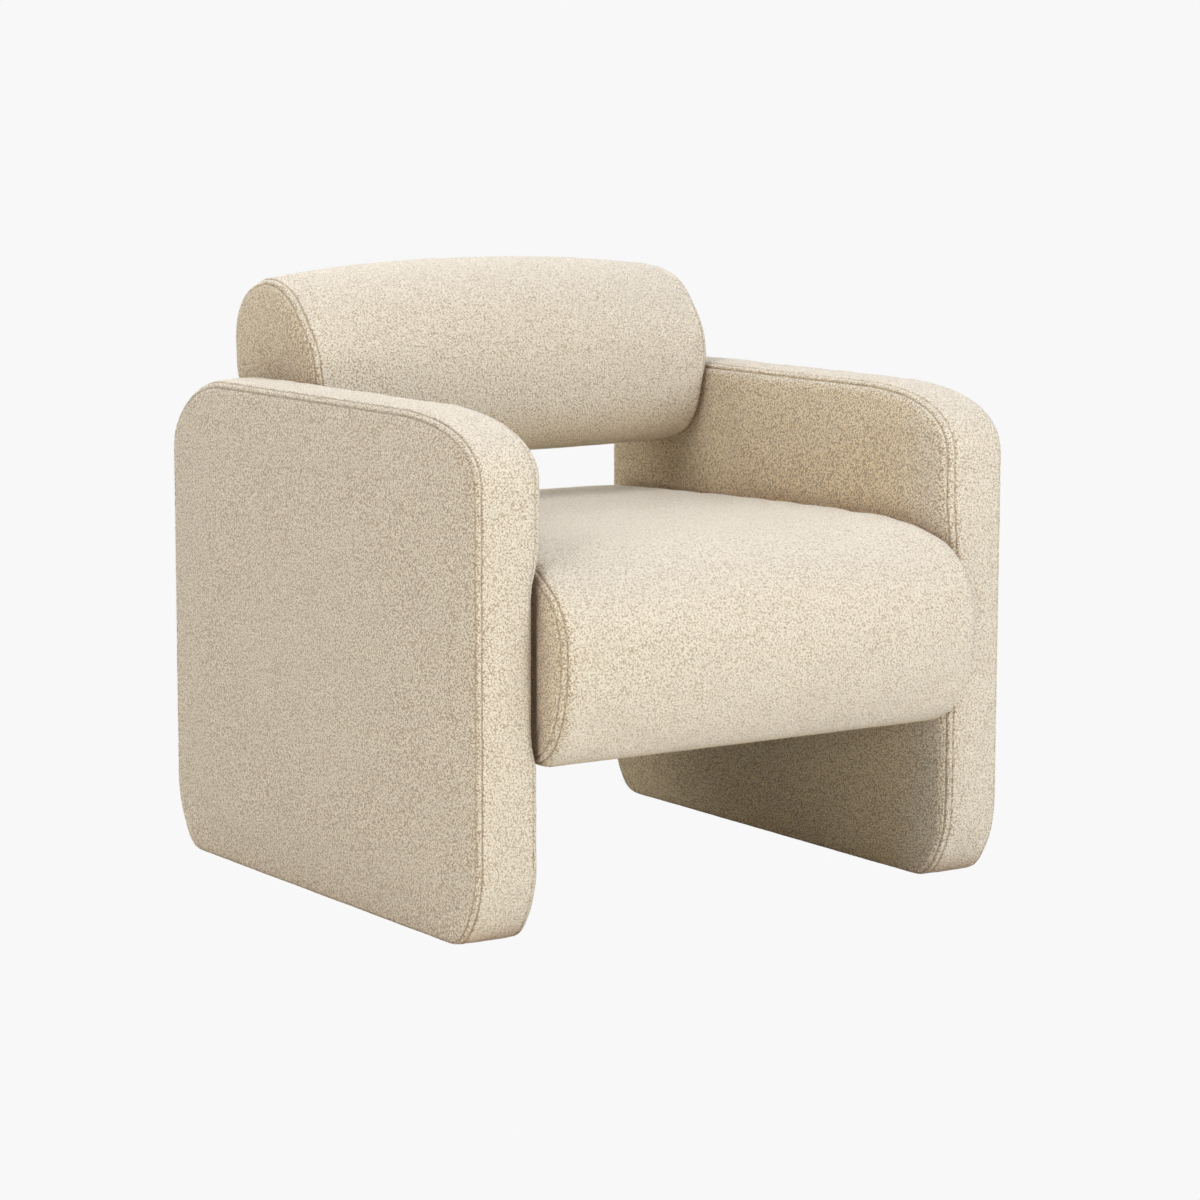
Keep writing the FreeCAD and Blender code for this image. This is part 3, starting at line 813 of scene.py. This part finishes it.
def timber():
    m = Maker("timber_pine")
    along = m.scale((9.0, 9.0, 9.0))
    wobble = m.noise(1.3, 3.0, 0.55, along).outputs["Color"]
    bent = m.shift(m.scale((1.0, 0.06, 1.0)), wobble, 0.02)
    rings = m.wave(28.0, bent, "X", 5.0, 3.0, 1.4)
    pores = m.noise(1.0, 4.0, 0.6, m.scale((900.0, 26.0, 900.0))).outputs["Fac"]
    colour = m.ramp(
        rings, [(0.1, (0.47, 0.29, 0.13)), (0.55, (0.62, 0.43, 0.22)), (0.9, (0.72, 0.55, 0.33))]
    )
    colour = m.mix(m.span(pores, 0.55, 0.75, 0.0, 0.45), colour, (0.33, 0.19, 0.08, 1.0))
    height = m.math("MULTIPLY_ADD", rings, 0.3, pores)
    return m.finish(colour, m.span(pores, 0.3, 0.7, 0.55, 0.75), m.bump(height, 0.0003))


def plywood():
    m = Maker("plywood_birch")
    layers = m.wave(115.0, m.where, "X", 0.4, 1.0, 0.5)
    grain = m.noise(1.0, 4.0, 0.6, m.scale((30.0, 30.0, 420.0))).outputs["Fac"]
    colour = m.ramp(
        grain, [(0.3, (0.58, 0.42, 0.24)), (0.5, (0.70, 0.55, 0.35)), (0.75, (0.78, 0.65, 0.45))]
    )
    colour = m.mix(m.span(layers, 0.35, 0.6, 0.35, 0.0), colour, (0.36, 0.22, 0.11, 1.0))
    return m.finish(colour, 0.6, m.bump(grain, 0.0003))


def webbing():
    m = Maker("webbing_woven")
    warp = m.wave(160.0, m.where, "X", 0.3)
    weft = m.wave(160.0, m.where, "Z", 0.3)
    stripe = m.wave(9.0, m.where, "X", 0.0)
    weave = m.math("MULTIPLY", warp, weft)
    colour = m.ramp(weave, [(0.05, (0.07, 0.06, 0.05)), (0.6, (0.20, 0.17, 0.13))])
    colour = m.mix(m.span(stripe, 0.85, 0.95, 0.0, 0.6), colour, (0.45, 0.36, 0.22, 1.0))
    return m.finish(colour, 0.85, m.bump(weave, 0.0006))


def non_woven():
    m = Maker("base_cloth_black")
    fibres = m.noise(700.0, 5.0, 0.75, m.where, 1.5).outputs["Fac"]
    dots = m.cells(420.0, randomness=0.0)
    colour = m.ramp(fibres, [(0.35, (0.012, 0.012, 0.013)), (0.7, (0.055, 0.053, 0.052))])
    height = m.math("MULTIPLY_ADD", m.span(dots, 0.0, 0.35, 0.0, 1.0), 0.6, fibres)
    return m.finish(colour, 0.9, m.bump(height, 0.0004), Sheen_Weight=0.15)


def foam():
    m = Maker("foam_cream")
    cells = m.cells(900.0)
    pores = m.cells(340.0)
    broad = m.noise(9.0, 3.0).outputs["Fac"]
    height = m.math("MULTIPLY_ADD", m.span(pores, 0.1, 0.3, 0.0, 1.0), 0.5, cells)
    colour = m.ramp(
        height, [(0.1, (0.52, 0.42, 0.20)), (0.6, (0.76, 0.68, 0.42)), (1.0, (0.82, 0.75, 0.52))]
    )
    colour = m.mix(m.span(broad, 0.3, 0.7, 0.0, 0.2), colour, (0.70, 0.58, 0.30, 1.0))
    return m.finish(colour, 0.95, m.bump(height, 0.0006))


def insulator():
    m = Maker("felt_grey")
    fibres = m.noise(420.0, 6.0, 0.8, m.where, 2.0).outputs["Fac"]
    specks = m.cells(260.0)
    colour = m.ramp(
        fibres, [(0.3, (0.16, 0.15, 0.15)), (0.55, (0.34, 0.32, 0.31)), (0.8, (0.52, 0.49, 0.47))]
    )
    colour = m.mix(m.span(specks, 0.0, 0.12, 0.5, 0.0), colour, (0.12, 0.16, 0.30, 1.0))
    return m.finish(colour, 0.95, m.bump(fibres, 0.0008))


def make_materials():
    return {
        "boucle": boucle(),
        "timber": timber(),
        "plywood": plywood(),
        "webbing": webbing(),
        "black_liner": non_woven(),
        "foam": foam(),
        "insulator": insulator(),
        "hardboard": plain(
            "hardboard_brown", [(0.20, 0.11, 0.05), (0.30, 0.18, 0.09), (0.36, 0.23, 0.12)], 160.0, 0.62
        ),
        "spring_steel": plain(
            "steel_spring", [(0.24, 0.24, 0.25), (0.38, 0.38, 0.39)], 90.0, 0.38, 0.0001, Metallic=1.0
        ),
        "zinc_steel": plain(
            "steel_zinc", [(0.52, 0.53, 0.55), (0.66, 0.67, 0.69)], 70.0, 0.30, 0.0001, Metallic=1.0
        ),
        "nylon": plain(
            "nylon_black", [(0.016, 0.016, 0.017), (0.028, 0.028, 0.030)], 60.0, 0.42, 0.0001
        ),
    }


# Upholstered pieces ------------------------------------------------------------------------------

SPLITS = 2  # how often a cover's mesh is split for the final surface
RELIEF = [(0.22, 26.0, 3), (0.10, 9.0, 5), (0.16, 4.6, 7)]  # height, size, seed of each noise
FOAM_UNDER = 5.0  # the foam wrap's outer face, under the cover's face
FOAM_SWELL = (0.6, 30.0, 11)  # height, size, seed


def box_mm(node):
    low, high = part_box(node)
    return np.array(low) / MM, np.array(high) / MM


def sideways(points, faces):
    """1 where the surface faces straight to a side, 0 where it turns to the front or up."""
    return fade(vertex_normals(points, faces)[:, 0] ** 2, 0.60, 0.95)


def end_face_shade(points, faces, half):
    """Painted warm shade on the end faces of the seat and the back, which look at the arms."""
    return 0.5 * fade(np.abs(points[:, 0]), half - 10.0, half - 2.0) * sideways(points, faces)


def soft_piece(name, skin, material, node, painted):
    """A soft piece that stands for a CAD node. painted maps attribute names to point values."""
    points, faces = skin
    mesh = to_mesh(name, points * MM, faces)
    for key, values in painted.items():
        data = mesh.attributes.new(key, "FLOAT", "POINT").data
        data.foreach_set("value", values.astype(np.float32))
    mesh.shade_smooth()
    mesh.materials.append(material)
    piece = bpy.data.objects.new(name, mesh)
    bpy.context.scene.collection.objects.link(piece)
    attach(piece, "root")
    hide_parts(node)


def upholster(word, materials, skin, seam_shade, enclosed_shade, stuffing):
    """The two soft pieces of one body: the stitched cover, and the foam wrap under it."""
    flank = vertex_normals(*skin)[:, 0] ** 2
    # the first two attributes carry painted shade for the cover's material; flank is how far the
    # surface faces sideways
    painted = {"seam_shade": seam_shade, "enclosed_shade": enclosed_shade, "flank": flank}
    soft_piece(
        word + "_upholstery", skin, materials["boucle"], word + "_cover", painted
    )
    soft_piece(word + "_padding", stuffing, materials["foam"], word + "_foam", {})


def near_seam(form, seams):
    """Which points of a form lie along one of its seams."""
    return np.min([np.abs(form.across - place) for place in seams], axis=0) < SEAM_HELD


def sew(form, blown, seams, hold):
    """Finer mesh with seams and yarn relief. hold(points) gives the last word on contact."""
    fine, quads = smooth_split(form.points + blown, form.faces, SPLITS)
    nothing = np.zeros_like(form.across)
    guide, _ = smooth_split(np.c_[form.across, nothing, nothing], form.faces, SPLITS)
    across = guide[:, 0]
    normal = vertex_normals(fine, quads)
    relief = np.zeros(len(fine))
    seam_shade = np.zeros(len(fine))
    for place in seams:
        relief += seam_relief(across - place)
        # painted shade along each row of stitching
        seam_shade += np.exp(-(((np.abs(across - place) - SEAM_HALF) / SEAM_SHADE_WIDE) ** 2))
    for height, size, seed in RELIEF:
        relief += height * noise(fine, size, seed)
    fine = hold(fine + normal * relief[:, None])
    return fine, quads, np.clip(seam_shade, 0, 1)


def foam_body(form, inner_depth):
    """A closed hollow wrap of foam under a cover, its inner face this deep under the cover's."""
    normal = vertex_normals(form.points, form.faces)
    outer = form.points - normal * FOAM_UNDER
    inner = form.points - normal * inner_depth
    outer, quads = smooth_split(outer, form.faces, 1)
    height, size, seed = FOAM_SWELL
    outer += vertex_normals(outer, quads) * (height * noise(outer, size, seed))[:, None]
    return np.vstack([outer, inner]), np.vstack([quads, form.faces[:, ::-1] + len(outer)])


# Arms. For each body: STEPS along y and z, and the rows of its mesh across the chair, as places
# on the flat part, degrees round the edge and insets on the end.
ARM_STEPS = (46, 36)
ARM_FLAT = (0, 12, 22)
ARM_TURN = (0, 14, 25, 36, 47, 58, 72, 90)
ARM_RINGS = (30.0, 46.0)
ARM_OUTER_SEAM, ARM_INNER_SEAM = 52, 34  # degrees round the edge
ARM_OUTER_CROWN, ARM_INNER_CROWN = 4.2, 0.7
ARM_PAST_OUTER, ARM_PAST_INNER = 5.0, 5.5  # how far a face may stand out past the slab
ARM_HELD = 20.0  # the bottom edge up to here stays where it is in the simulation
ARM_PUFF, ARM_TAUT = 2.5, 0.5  # limit of the simulated movement, and the share that is kept
ARM_FOAM_INSIDE = 10.5
ARM_BULGE = 4.5  # the inner face swells over the seat, and is squeezed in beside it
ARM_SQUEEZE = 8.0  # the front edge is pressed back beside the seat's nose


def arm_form(low, high, seat_low, seat_top):
    """The mesh before sewing. Local x runs outwards from the slab's middle."""
    half = (high[0] - low[0]) / 2
    outer = edge_rows(half, ARM_OUTER_ROUND, ARM_FLAT, ARM_TURN, ARM_RINGS)
    inner = edge_rows(half, ARM_ROUND, ARM_FLAT, ARM_TURN, ARM_RINGS)

    def crown(x, ring, normal, inset):
        open_face = 1 - min(inset / 70.0, 1.0)
        drop = 1.2 * open_face**2 * abs(x) / half
        push = -1.0 * (x / (half - ARM_ROUND * 0.5)) ** 2 if abs(x) < half else -1.2
        keep = fade(normal[:, 1], -0.85, -0.50)
        return np.full(len(ring), x - math.copysign(drop, x)), push * keep

    def end_crown(grid, height):
        return np.sqrt(height) * (ARM_OUTER_CROWN if grid[0, 0, 0] > 0 else ARM_INNER_CROWN)

    loop = Loop(*arm_outline(low, high), *ARM_STEPS)
    form = Form(loop, both_sides(inner, outer), crown, end_crown)
    points = form.points
    x, y, z = points.T
    front = low[1]
    inside = fade(x, -18.0, -40.0)
    above_seat = fade(z, seat_top - 16.0, seat_top + 14.0) * fade(z, high[2], high[2] - 60.0)
    points[:, 0] -= ARM_BULGE * inside * above_seat * fade(y, 130.0, 60.0)
    beside_seat = fade(z, seat_low + 4.0, seat_low + 34.0) * fade(z, seat_top - 6.0, seat_top - 46.0)
    points[:, 0] += ARM_BULGE * inside * beside_seat * fade(y, front + 40.0, front + 10.0)
    inner_edge = fade(x, 24.0 - half, 2.0 - half)
    points[:, 1] += ARM_SQUEEZE * inner_edge * beside_seat * fade(y, front + 60.0, front + 20.0)
    return form


def make_arm(side, materials):
    """side is -1 for the left arm and 1 for the right."""
    word = "left_arm" if side < 0 else "right_arm"
    low, high = box_mm(word + "_cover")
    seat_low, seat_top = (corner[2] for corner in box_mm("seat_cover"))
    back_front, back_low = box_mm("back_cover")[0][1:]
    liner_low, liner_high = box_mm(word + "_base_liner")
    liner_half = (liner_high[0] - liner_low[0]) / 2
    middle = (low[0] + high[0]) / 2
    half = (high[0] - low[0]) / 2
    front, bottom = low[1], low[2]
    form = arm_form(low, high, seat_low, seat_top)
    seams = (
        over_edge(half, ARM_OUTER_ROUND, ARM_OUTER_SEAM),
        -over_edge(half, ARM_ROUND, ARM_INNER_SEAM),
    )
    foot = form.points[:, 2] < bottom + ARM_HELD
    blown = inflate(form.points, form.faces, near_seam(form, seams) | foot, ARM_PUFF) * ARM_TAUT
    blown[foot] = 0

    def hold(fine):
        """Flat against the seat and the back, and the turned edge round the base cloth."""
        fine[:, 0] = np.clip(fine[:, 0], -half - ARM_PAST_INNER, half + ARM_PAST_OUTER)
        y, z = fine[:, 1], fine[:, 2]
        at_seat = (z > seat_low) & (z < seat_top - 14.0) & (y > front + 18.0)
        at_back = (z > back_low) & (y > back_front - 10.0)
        fine[:, 0] = np.where(at_seat | at_back, np.maximum(fine[:, 0], -half), fine[:, 0])
        fine[:, 2] = np.maximum(fine[:, 2], bottom)
        past_end = np.maximum(liner_low[1] - y, y - liner_high[1]) / 8.0
        past_side = (np.abs(fine[:, 0]) - liner_half + 1.0) / 5.0
        past = smoothstep(np.maximum(past_end, past_side))
        fine[:, 2] -= HEM_ROLL * past * fade(z, bottom + 34.0, bottom)
        return fine

    def place(points, quads):
        points = np.c_[middle + side * points[:, 0], points[:, 1:]]
        return points, quads if side > 0 else quads[:, ::-1]

    fine, quads, seam_shade = sew(form, blown, seams, hold)
    # painted warm shade on the inner face, growing back from the front edge and weaker towards the top
    climb = np.clip((fine[:, 2] - seat_top) / (high[2] - seat_top), 0, 1)
    enclosed_shade = fade(fine[:, 0], -14.0, -34.0) * fade(fine[:, 1], front + 10.0, front + 120.0)
    enclosed_shade *= (1.0 - 0.45 * climb) * sideways(fine, quads)
    stuffing = place(*foam_body(form, ARM_FOAM_INSIDE))
    upholster(word, materials, place(fine, quads), seam_shade, enclosed_shade, stuffing)


# Seat
SEAT_STEPS = (50, 20)
SEAT_FLAT = (0, 20, 42, 64, 86, 108, 130, 152, 172, 192, 210, 228, 244, 258, 268)
SEAT_TURN = (10, 25, 38, 49, 60, 71, 82, 90)
SEAT_RINGS = (24.0, 34.0)
SEAT_SEAM = 60
SEAT_HELD = 12.0
PUFF = 4.0  # limit of the simulated movement on the seat and the back


def make_seat(materials):
    low, high = box_mm("seat_cover")
    half = (high[0] - low[0]) / 2
    bottom = low[2]
    arm_front = box_mm("left_arm_cover")[0][1]
    right = edge_rows(half, SEAT_ROUND, SEAT_FLAT, SEAT_TURN, SEAT_RINGS)
    seam = over_edge(half, SEAT_ROUND, SEAT_SEAM)

    def proud(y):
        """1 where the nose stands free in front of the arms."""
        return fade(y, arm_front + 24.0, arm_front + 2.0)

    def crown(x, ring, normal, inset):
        u = min(abs(x) / half, 1.0)
        up = np.clip(normal[:, 1], 0, 1)
        front = np.clip(-normal[:, 0], 0, 1)
        push = -(1.8 * up**2 + 4.5 * front**2) * u**2.6
        bulge = 6.0 * proud(ring[:, 0]) * fade(u, 0.75, 1.0)
        return x + math.copysign(1.0, x) * bulge, push

    def end_crown(grid, height):
        return 0.6 * height

    def hold(fine):
        limit = half + 7.5 * proud(fine[:, 1])
        fine[:, 0] = np.clip(fine[:, 0], -limit, limit)
        fine[:, 2] = np.maximum(fine[:, 2], bottom)
        return fine

    loop = Loop(*seat_outline(low, high), *SEAT_STEPS)
    form = Form(loop, both_sides(right, right), crown, end_crown)
    seams = (seam, -seam)
    foot = form.points[:, 2] < bottom + SEAT_HELD
    blown = inflate(form.points, form.faces, near_seam(form, seams) | foot, PUFF)
    blown[foot] = 0
    fine, quads, seam_shade = sew(form, blown, seams, hold)
    # painted warm shade along the underside and on the ends that face the arms
    below = fade(fine[:, 2], bottom + 12.0, bottom + 2.0)
    enclosed_shade = np.maximum(end_face_shade(fine, quads, half), below)
    stuffing = foam_body(form, SEAT_ROUND - 3.0)
    upholster("seat", materials, (fine, quads), seam_shade, enclosed_shade, stuffing)


# Back
BACK_STEPS = (14, 14)
BACK_FLAT = (0, 18, 36, 54, 72, 90, 108, 126, 144, 162, 180, 197, 213, 228, 241, 252, 261, 268, 274)
BACK_TURN = (0, 14, 28, 42, 56, 72, 90)
BACK_RINGS = (18.0, 27.0, 39.0)
BACK_SEAM = 42


def make_back(materials):
    low, high = box_mm("back_cover")
    half = (high[0] - low[0]) / 2
    bottom = low[2]
    arm_top = box_mm("left_arm_cover")[1][2]
    right = edge_rows(half, BACK_ROUND, BACK_FLAT, BACK_TURN, BACK_RINGS)
    seam = over_edge(half, BACK_ROUND, BACK_SEAM)

    def crown(x, ring, normal, inset):
        """The ends fall away at the top, and stand out sideways where they clear the arms."""
        u = min(abs(x) / half, 1.0)
        up = np.clip(normal[:, 1], 0, 1)
        down = np.clip(-normal[:, 1], 0, 1)
        ahead = fade(normal[:, 0], 0.3, -0.3)
        lean = ahead * fade(up, 0.0, 0.6) + (1 - ahead) * fade(up, 0.3, 1.0)
        push = -(1.0 + 18.0 * lean + 2.0 * down**2) * u**2.4
        over_arm = ring[:, 1] + push - arm_top
        bulge = 5.5 * fade(over_arm, -26.0, 0.0) + 3.5 * fade(over_arm, 8.0, 68.0)
        return x + math.copysign(1.0, x) * bulge * fade(u, 0.8, 1.0), push

    def end_crown(grid, height):
        return 2.0 * height * fade(grid[:, :, 2], arm_top, arm_top + 40.0)

    def hold(fine):
        limit = half + 13.0 * fade(fine[:, 2], arm_top - 26.0, arm_top)
        fine[:, 0] = np.clip(fine[:, 0], -limit, limit)
        return fine

    loop = Loop(*back_outline(low, high), *BACK_STEPS)
    form = Form(loop, both_sides(right, right), crown, end_crown)
    seams = (seam, -seam)
    blown = inflate(form.points, form.faces, near_seam(form, seams), PUFF)
    fine, quads, seam_shade = sew(form, blown, seams, hold)
    # painted warm shade on the lower part and on the ends that face the arms
    below = 0.7 * fade(fine[:, 2], bottom + 80.0, bottom)
    enclosed_shade = np.maximum(end_face_shade(fine, quads, half), below)
    stuffing = foam_body(form, BACK_ROUND - 3.0)
    upholster("back", materials, (fine, quads), seam_shade, enclosed_shade, stuffing)


def dress_frame(materials):
    """Every CAD node that stays gets its slot's procedural material."""
    slots = {part["node"]: part["material_slot"] for part in frame["record"]["subparts"]}
    for name, node in frame["nodes"].items():
        if name in slots:
            node.data.materials.clear()
            node.data.materials.append(materials[slots[name]])


def main():
    make_camera()
    make_floor()
    make_world()
    for box in SOFT_BOXES:
        soft_box(*box)
    scene = bpy.context.scene
    scene.view_settings.view_transform = "Standard"
    scene.view_settings.look = "None"
    materials = make_materials()
    make_arm(-1, materials)
    make_arm(1, materials)
    make_seat(materials)
    make_back(materials)
    dress_frame(materials)


main()
